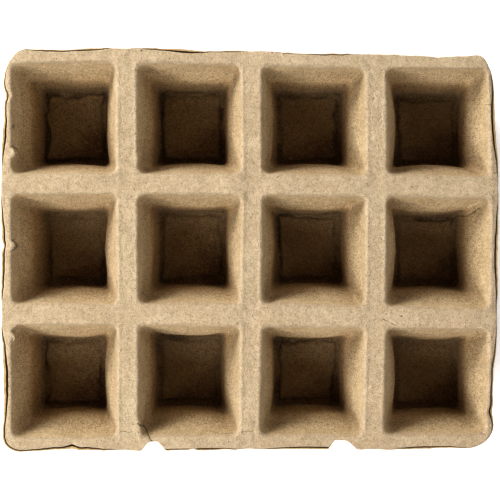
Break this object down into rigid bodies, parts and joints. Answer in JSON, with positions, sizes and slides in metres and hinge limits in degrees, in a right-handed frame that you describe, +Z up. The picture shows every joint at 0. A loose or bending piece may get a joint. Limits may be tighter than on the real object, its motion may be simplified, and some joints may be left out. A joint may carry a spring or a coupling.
{
  "type": "plug tray",
  "caption": "Moulded-pulp seedling tray: a grid of tapered square plantable cells under one continuous flanged deck.",
  "frame": {"origin": "middle of the tray's footprint, on the plane that the cell floors stand on", "axes": "+X along the tray's length, +Y towards its back edge, +Z up out of the cells"},
  "size_m": [0.23, 0.186, 0.05],
  "materials": {
    "pulp": "matte, felt-like kraft-brown moulded paper fibre"
  },
  "bodies": {
    "root": {"cell_a1": "pulp", "cell_a2": "pulp", "cell_a3": "pulp", "cell_a4": "pulp", "cell_b1": "pulp", "cell_b2": "pulp", "cell_b3": "pulp", "cell_b4": "pulp", "cell_c1": "pulp", "cell_c2": "pulp", "cell_c3": "pulp", "cell_c4": "pulp"}
  },
  "joints": []
}
